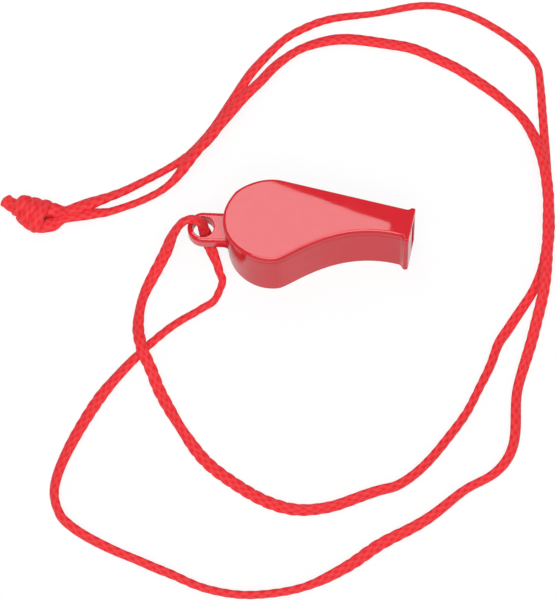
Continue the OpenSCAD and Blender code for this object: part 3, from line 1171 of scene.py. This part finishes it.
@dataclass
class Lanyard:
    """One cord threaded through the eye, its two ends tied together in a knot.

    Where the braid is looser the cord is fuller: at a distance from the eye, below zero on the
    upper strand, it swells over a reach by a share of its size. The lead is the number of points
    from which a strand sets out into the knot, and the evening is the number of neighbours on
    each side that even out the cord's twist.
    """

    cord: BraidedCord = field(default_factory=BraidedCord)
    turns: KnotTurns = field(default_factory=KnotTurns)
    finish: BraidFinish = BraidFinish()
    floor_z: float = 1.2
    cross_z: float = 3.7
    settle_l: float = 3.0
    knot_swell: float = 0.22
    tip_l: float = 0.7
    tip_blunt: float = 0.9
    scorch_l: float = 0.4
    lead: int = 16
    evening: int = 12
    fuller: tuple = ((-366, 4, 0.3), (-358, 5, 0.1), (-334, 9, 0.2), (-304, 5, -0.1), (-280, 4, -0.15),
                     (-14, 9, 0.09), (104, 5, -0.08), (192, 5, -0.1), (208, 5, 0.1), (256, 5, -0.08),
                     (288, 5, -0.1), (336, 5, 0.12), (377, 7, 0.12), (386, 4, 0.3), (412, 4, 0.12))

    def upper(self) -> Strand:
        """The stretch over the lug's rim, down and round to the knot.

        Returns:
            The strand, which leaves the knot as the longer tail.
        """
        f = self.floor_z
        return Strand([
            [-15.4, -3.3, 9], [-15.9, -2.8, 10.7], [-16.9, -2.6, 12.3], [-18.6, -2.9, 13.1],
            [-20.2, -3.8, 12.6], [-21.6, -5.3, 10.6], [-22.7, -7, 7.8], [-23.5, -9, 5],
            [-24.5, -11.5, 2.9], [-25.5, -15, 1.7], [-26, -18.5, f], [-25.5, -24.5, 1.9],
            [-22, -32.8, 3.8], [-18.5, -37.5, 2.8], [-15.5, -41.5, 1.6], [-3, -53.5, f], [5.5, -58, f],
            [19.5, -60.5, f], [28, -58, f], [38, -51.5, f], [42, -49, f], [47.5, -41.5, f], [54.5, -22, f],
            [55.5, -11, f], [57, -6.5, f], [61.5, 8, f], [61.5, 13, f], [59, 26, f], [51, 54, f],
            [48, 60.5, f], [35, 67.5, f], [27.5, 69, f], [19, 68, f], [9, 63.5, f], [-6, 56.5, f],
            [-15.5, 42, f], [-21.5, 23, f], [-25, 17, f], [-36, 6, f], [-49, -3.6, 1.9]],
            in_knot=[[-51.3, -4.8, 3.3], [-54.5, -5.5, 3.2], [-57.5, -6.0, 3.0], [-59.8, -6.0, 2.7],
                     [-61.7, -5.5, 2.2], [-63.8, -4.5, 1.9]],
            roll=((0, 0), (6, 50), (10, 48), (16, 10), (24, 10), (32, 45), (40, 10), (50, 0), (57, 15),
                  (64, 55), (72, 10), (88, 10), (104, 50), (112, 50), (122, 65), (136, 68), (150, 75),
                  (160, 60), (168, 50), (178, 60), (190, 15), (205, 40), (224, 55), (240, 85), (256, 75),
                  (272, 70), (280, 75), (288, 50), (300, 40), (312, 35), (335, 20), (344, 60), (352, 65),
                  (362, 45), (372, 10)),
            drift=((0, 0), (8, -0.3), (16, -0.45), (24, -0.55), (32, -0.2), (40, 0.3), (48, 0.1), (72, 0),
                   (80, -0.25), (92, 0.2), (104, 0.2), (112, 0), (120, 0.15), (136, 0), (144, 0.2),
                   (152, -0.2), (160, 0.45), (176, 0.4), (184, 0), (196, 0.35), (208, -0.15), (224, -0.3),
                   (232, -0.1), (240, -0.1), (256, -0.4), (266, 0.15), (280, 0.1), (288, 0.12),
                   (296, -0.1), (304, 0.45), (312, 0.4), (322, 0.1), (336, 0), (352, -0.15), (360, -0.38),
                   (372, -0.5)))

    def lower(self) -> Strand:
        """The stretch down through the eye, under the lug and round to the knot.

        Returns:
            The strand, which leaves the knot by its lobe as the shorter tail.
        """
        f, c = self.floor_z, self.cross_z
        return Strand([
            [-15.4, -3.3, 9], [-14.9, -3.8, 7.3], [-14.3, -4.9, 5.6], [-13.2, -6.4, 4.2], [-12, -8, 2.9],
            [-10.5, -9.6, 1.7], [-9, -11.2, f], [-9, -16, f], [-16, -23, f], [-28, -43, f], [-33, -69, f],
            [-30, -74.5, f], [-26.5, -76.5, f], [-15, -80, f], [-3, -81.5, f], [6.5, -83, f],
            [16.5, -82, f], [27, -77.5, f], [35.5, -70.5, f], [41.5, -63.5, f], [49, -56, f],
            [57, -46.5, f], [64.5, -36, f], [62.5, -20, f], [63, -6, 2.2], [63, 4.5, c], [59.7, 22.5, c],
            [56, 33, c], [49.5, 44.5, 2], [42.5, 49, f], [22, 56.5, f], [10.5, 56, f], [0, 54, f],
            [-11, 44.5, 2.4], [-14, 37.5, c], [-23, 16.5, c], [-26.5, 9, 2.4], [-31, 4.5, f],
            [-39.5, -1.5, f], [-49, -6.2, 1.9]],
            in_knot=[[-50.7, -7.8, 2.2], [-52.7, -9.0, 2.6], [-54.9, -9.3, 2.6], [-57.0, -8.5, 2.2],
                     [-58.2, -7.6, 1.8], [-59.2, -6.8, 1.6]],
            roll=((0, 0), (4, 10), (9, 62), (14, 80), (20, 80), (28, 60), (36, 50), (48, 30), (56, 0),
                  (64, 15), (74, 35), (84, 62), (96, 65), (108, 68), (124, 88), (144, 88), (152, 50),
                  (160, 20), (172, 45), (188, 68), (200, 52), (216, 47), (228, 30), (256, 20), (288, 20),
                  (300, 10), (328, 10), (340, 28), (346, 42), (352, 28), (366, 20), (380, 45), (394, 65),
                  (404, 62), (412, 25), (422, 10)),
            drift=((0, 0), (9, -0.45), (13, 0.2), (17, 0.6), (21, 0.1), (26, -0.4), (32, -0.15),
                   (48, -0.4), (56, -0.25), (72, -0.15), (80, -0.25), (90, 0.25), (104, -0.2), (112, 0.2),
                   (128, 0.1), (136, 0), (144, 0.1), (160, -0.05), (176, 0.4), (186, -0.15), (194, 0.5),
                   (202, -0.05), (210, 0), (224, 0.3), (240, 0), (256, -0.1), (264, 0.3), (272, 0.5),
                   (286, -0.35), (296, 0.1), (304, 0.05), (312, -0.4), (320, -0.15), (328, 0.1), (336, 0),
                   (344, 0.25), (354, -0.55), (366, 0.2), (386, 0.4), (396, 0.1), (402, 0.05), (407, 0),
                   (411, 0.4), (416, 0.45), (424, 0.2)))

    def lying(self, strand: Strand) -> tuple[np.ndarray, np.ndarray]:
        """Lays a strand's free stretch along its curve, with its drift and its roll.

        Args:
            strand: the strand.

        Returns:
            Points at even steps, and the thin axis of the cord at each.
        """
        curve = smooth_route(strand.route, self.cord.step)
        along = np.arange(len(curve)) * self.cord.step
        ahead = unit(np.gradient(curve, axis=0))
        level = unit(np.cross(ahead, [0.0, 0.0, 1.0]))
        curve = curve + level * eased(along, strand.drift)[:, None]
        ahead = unit(np.gradient(curve, axis=0))
        level = unit(np.cross(ahead, [0.0, 0.0, 1.0]))
        roll = np.radians(eased(along, strand.roll))[:, None]
        return curve, np.cos(roll) * np.cross(level, ahead) + np.sin(roll) * level

    def tied(self, strand: Strand, curve: np.ndarray, thin: np.ndarray) -> dict[str, np.ndarray]:
        """A strand's braided run through the knot, out to its scorched end.

        The cord first settles: it grows fuller, and its thin axis turns upright. At the tip the
        section shrinks by a circle's arc to a blunt end.

        Args:
            strand: the strand.
            curve: its free stretch, whose last points lead into the knot.
            thin: the thin axis at each of these points.

        Returns:
            The braided surface, with how far each row is scorched.
        """
        lead = curve[-self.lead:]
        way = smooth_route(np.vstack([lead[[0, -1]], strand.in_knot]), self.cord.step)[self.lead - 1:]
        run = np.arange(len(way)) * self.cord.step
        left, share = run[::-1], np.clip(run / self.settle_l, 0, 1)
        drawn = np.clip(1 - left / self.tip_l, 0, self.tip_blunt)
        turned = unit(thin[-1] * (1 - share[:, None]) + np.array([0, 0, 1.0]) * share[:, None])
        skin = self.cord.surface(way, turned, (1 + self.knot_swell * share) * np.sqrt(1 - drawn ** 2))
        skin["scorch"] = np.clip(1 - left / self.scorch_l, 0, 1)
        return skin

    def build(self) -> tuple[Object, Object, Object]:
        """The lanyard, cut from runs of braid.

        Returns:
            The upper strand, the lower strand and the knot.
        """
        strands = self.upper(), self.lower()
        (upper, upper_thin), (lower, lower_thin) = map(self.lying, strands)
        whole = np.vstack([upper[::-1], lower[1:]])
        thin = np.vstack([upper_thin[::-1], lower_thin[1:]])
        for _ in range(3):
            thin = unit(smoothed(thin, self.evening))
        eye = len(upper) - 1
        from_eye = (np.arange(len(whole)) - eye) * self.cord.step
        swell = sum(share * np.exp(-((from_eye - place) / reach) ** 2)
                    for place, reach, share in self.fuller)
        free = self.cord.surface(whole, thin, 1 + swell)
        halves = [{key: value[rows] for key, value in free.items()}
                  for rows in (slice(0, eye + 1), slice(eye, len(whole)))]
        way = smooth_route(self.turns.route(), self.cord.step)
        axis = way * [1, 0, 0] + self.turns.core
        knot = [self.tied(strands[0], upper, upper_thin), self.tied(strands[1], lower, lower_thin),
                self.cord.surface(way, unit(way - axis), np.full(len(way), self.turns.fullness))]
        pieces = (self.cord.piece("lanyard_upper_cord", halves[:1]),
                  self.cord.piece("lanyard_lower_cord", halves[1:]),
                  self.cord.piece("lanyard_knot_turns", knot))
        for piece in pieces:
            piece.data.materials.append(self.finish.material())
        return pieces


@dataclass
class Studio:
    """The camera, a soft lamp to the back, an even light to the front, and a white floor."""

    centre: tuple = (82.28, -246.715, 644.799)
    right: tuple = (0.96688, 0.25403, -0.02461)
    up: tuple = (-0.22889, 0.90577, 0.35665)
    back: tuple = (0.11289, -0.33920, 0.93392)
    lens: float = 180.0
    film_width: float = 36.0
    sight: tuple = (10.0, 20000.0)
    lamp_height: float = 518.0
    lamp_corner: tuple = (-17.4, 206.4)
    lamp_size: tuple = (170.0, 140.0)
    lamp_turn: float = -5.0
    lamp_radiance: float = 4.8
    front_way: tuple = (0.12, -0.37, 0.92)
    front_angle: float = 43.0
    front_strength: float = 2.2
    surroundings: float = 0.3
    floor_reach: float = 3000.0
    floor_finish: FloorFinish = FloorFinish()

    def camera(self) -> None:
        """The photograph's camera."""
        lens = bpy.data.cameras.new("photo_camera")
        lens.lens = self.lens
        lens.sensor_width = self.film_width
        lens.clip_start, lens.clip_end = self.sight[0] * MM, self.sight[1] * MM
        obj = linked("photo_camera", lens)
        turn = Matrix((self.right, self.up, self.back)).transposed().to_4x4()
        obj.matrix_world = Matrix.Translation(Vector(self.centre) * MM) @ turn
        bpy.context.scene.camera = obj

    def soft_lamp(self) -> None:
        """The rectangular lamp above and to the back whose edge shows in the cover's gloss."""
        a = np.radians(self.lamp_turn)
        x, y = np.array([np.cos(a), np.sin(a)]), np.array([-np.sin(a), np.cos(a)])
        centre = np.array(self.lamp_corner) - x * self.lamp_size[0] / 2 - y * self.lamp_size[1] / 2
        light = bpy.data.lights.new("soft_lamp", "AREA")
        light.shape = "RECTANGLE"
        light.size, light.size_y = self.lamp_size[0] * MM, self.lamp_size[1] * MM
        light.energy = self.lamp_radiance * np.pi * light.size * light.size_y
        place = Matrix.Translation(Vector((*centre, self.lamp_height)) * MM)
        linked("soft_lamp", light).matrix_world = place @ Matrix.Rotation(a, 4, "Z")

    def front_light(self) -> None:
        """The broad even light from above and the front."""
        light = bpy.data.lights.new("front_light", "SUN")
        light.energy = self.front_strength
        light.angle = np.radians(self.front_angle)
        turn = Vector(self.front_way).to_track_quat("Z", "Y").to_matrix().to_4x4()
        linked("front_light", light).matrix_world = turn

    def surround(self) -> None:
        """Even pale light from all round."""
        world = bpy.data.worlds.new("pale_surroundings")
        world.use_nodes = True
        glow = world.node_tree.nodes["Background"]
        glow.inputs["Color"].default_value = (1, 1, 1, 1)
        glow.inputs["Strength"].default_value = self.surroundings
        bpy.context.scene.world = world

    def floor(self) -> None:
        """A white floor that shows white to the camera and in gloss, and keeps a soft shadow."""
        r = self.floor_reach
        corners = np.array([[-r, -r, 0], [r, -r, 0], [r, r, 0], [-r, r, 0]])
        obj = make_object("floor", corners, [[0, 1, 2, 3]])
        obj.data.materials.append(self.floor_finish.material())


def main() -> None:
    """Builds the scene: camera and cords first, then the whistle, then the studio."""
    logging.basicConfig(level=logging.INFO, format="%(name)s: %(message)s")
    bpy.context.scene.view_settings.view_transform = "Standard"
    studio = Studio()
    studio.camera()
    upper, lower, knot = Lanyard().build()
    housing = Housing()
    body = housing.body(Lug(housing.shape))
    cover = housing.cover()
    pea = CorkPea().build()
    for piece, node, rides, slot in (
            (upper, "lanyard_upper_strand", "whistle", "red_braid"),
            (lower, "lanyard_lower_strand", "whistle", "red_braid"),
            (knot, "lanyard_knot", "whistle", "red_braid"),
            (body, "whistle_body", "whistle", "red_plastic"),
            (cover, "side_cover", "whistle", "red_plastic"),
            (pea, "pea", "pea", "cork")):
        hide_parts(node)
        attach(piece, rides)
        LOG.info("%s: %d faces, stands for %s", piece.name, len(piece.data.polygons), node)
    studio.soft_lamp()
    studio.front_light()
    studio.surround()
    studio.floor()


if __name__ == "__main__":
    main()
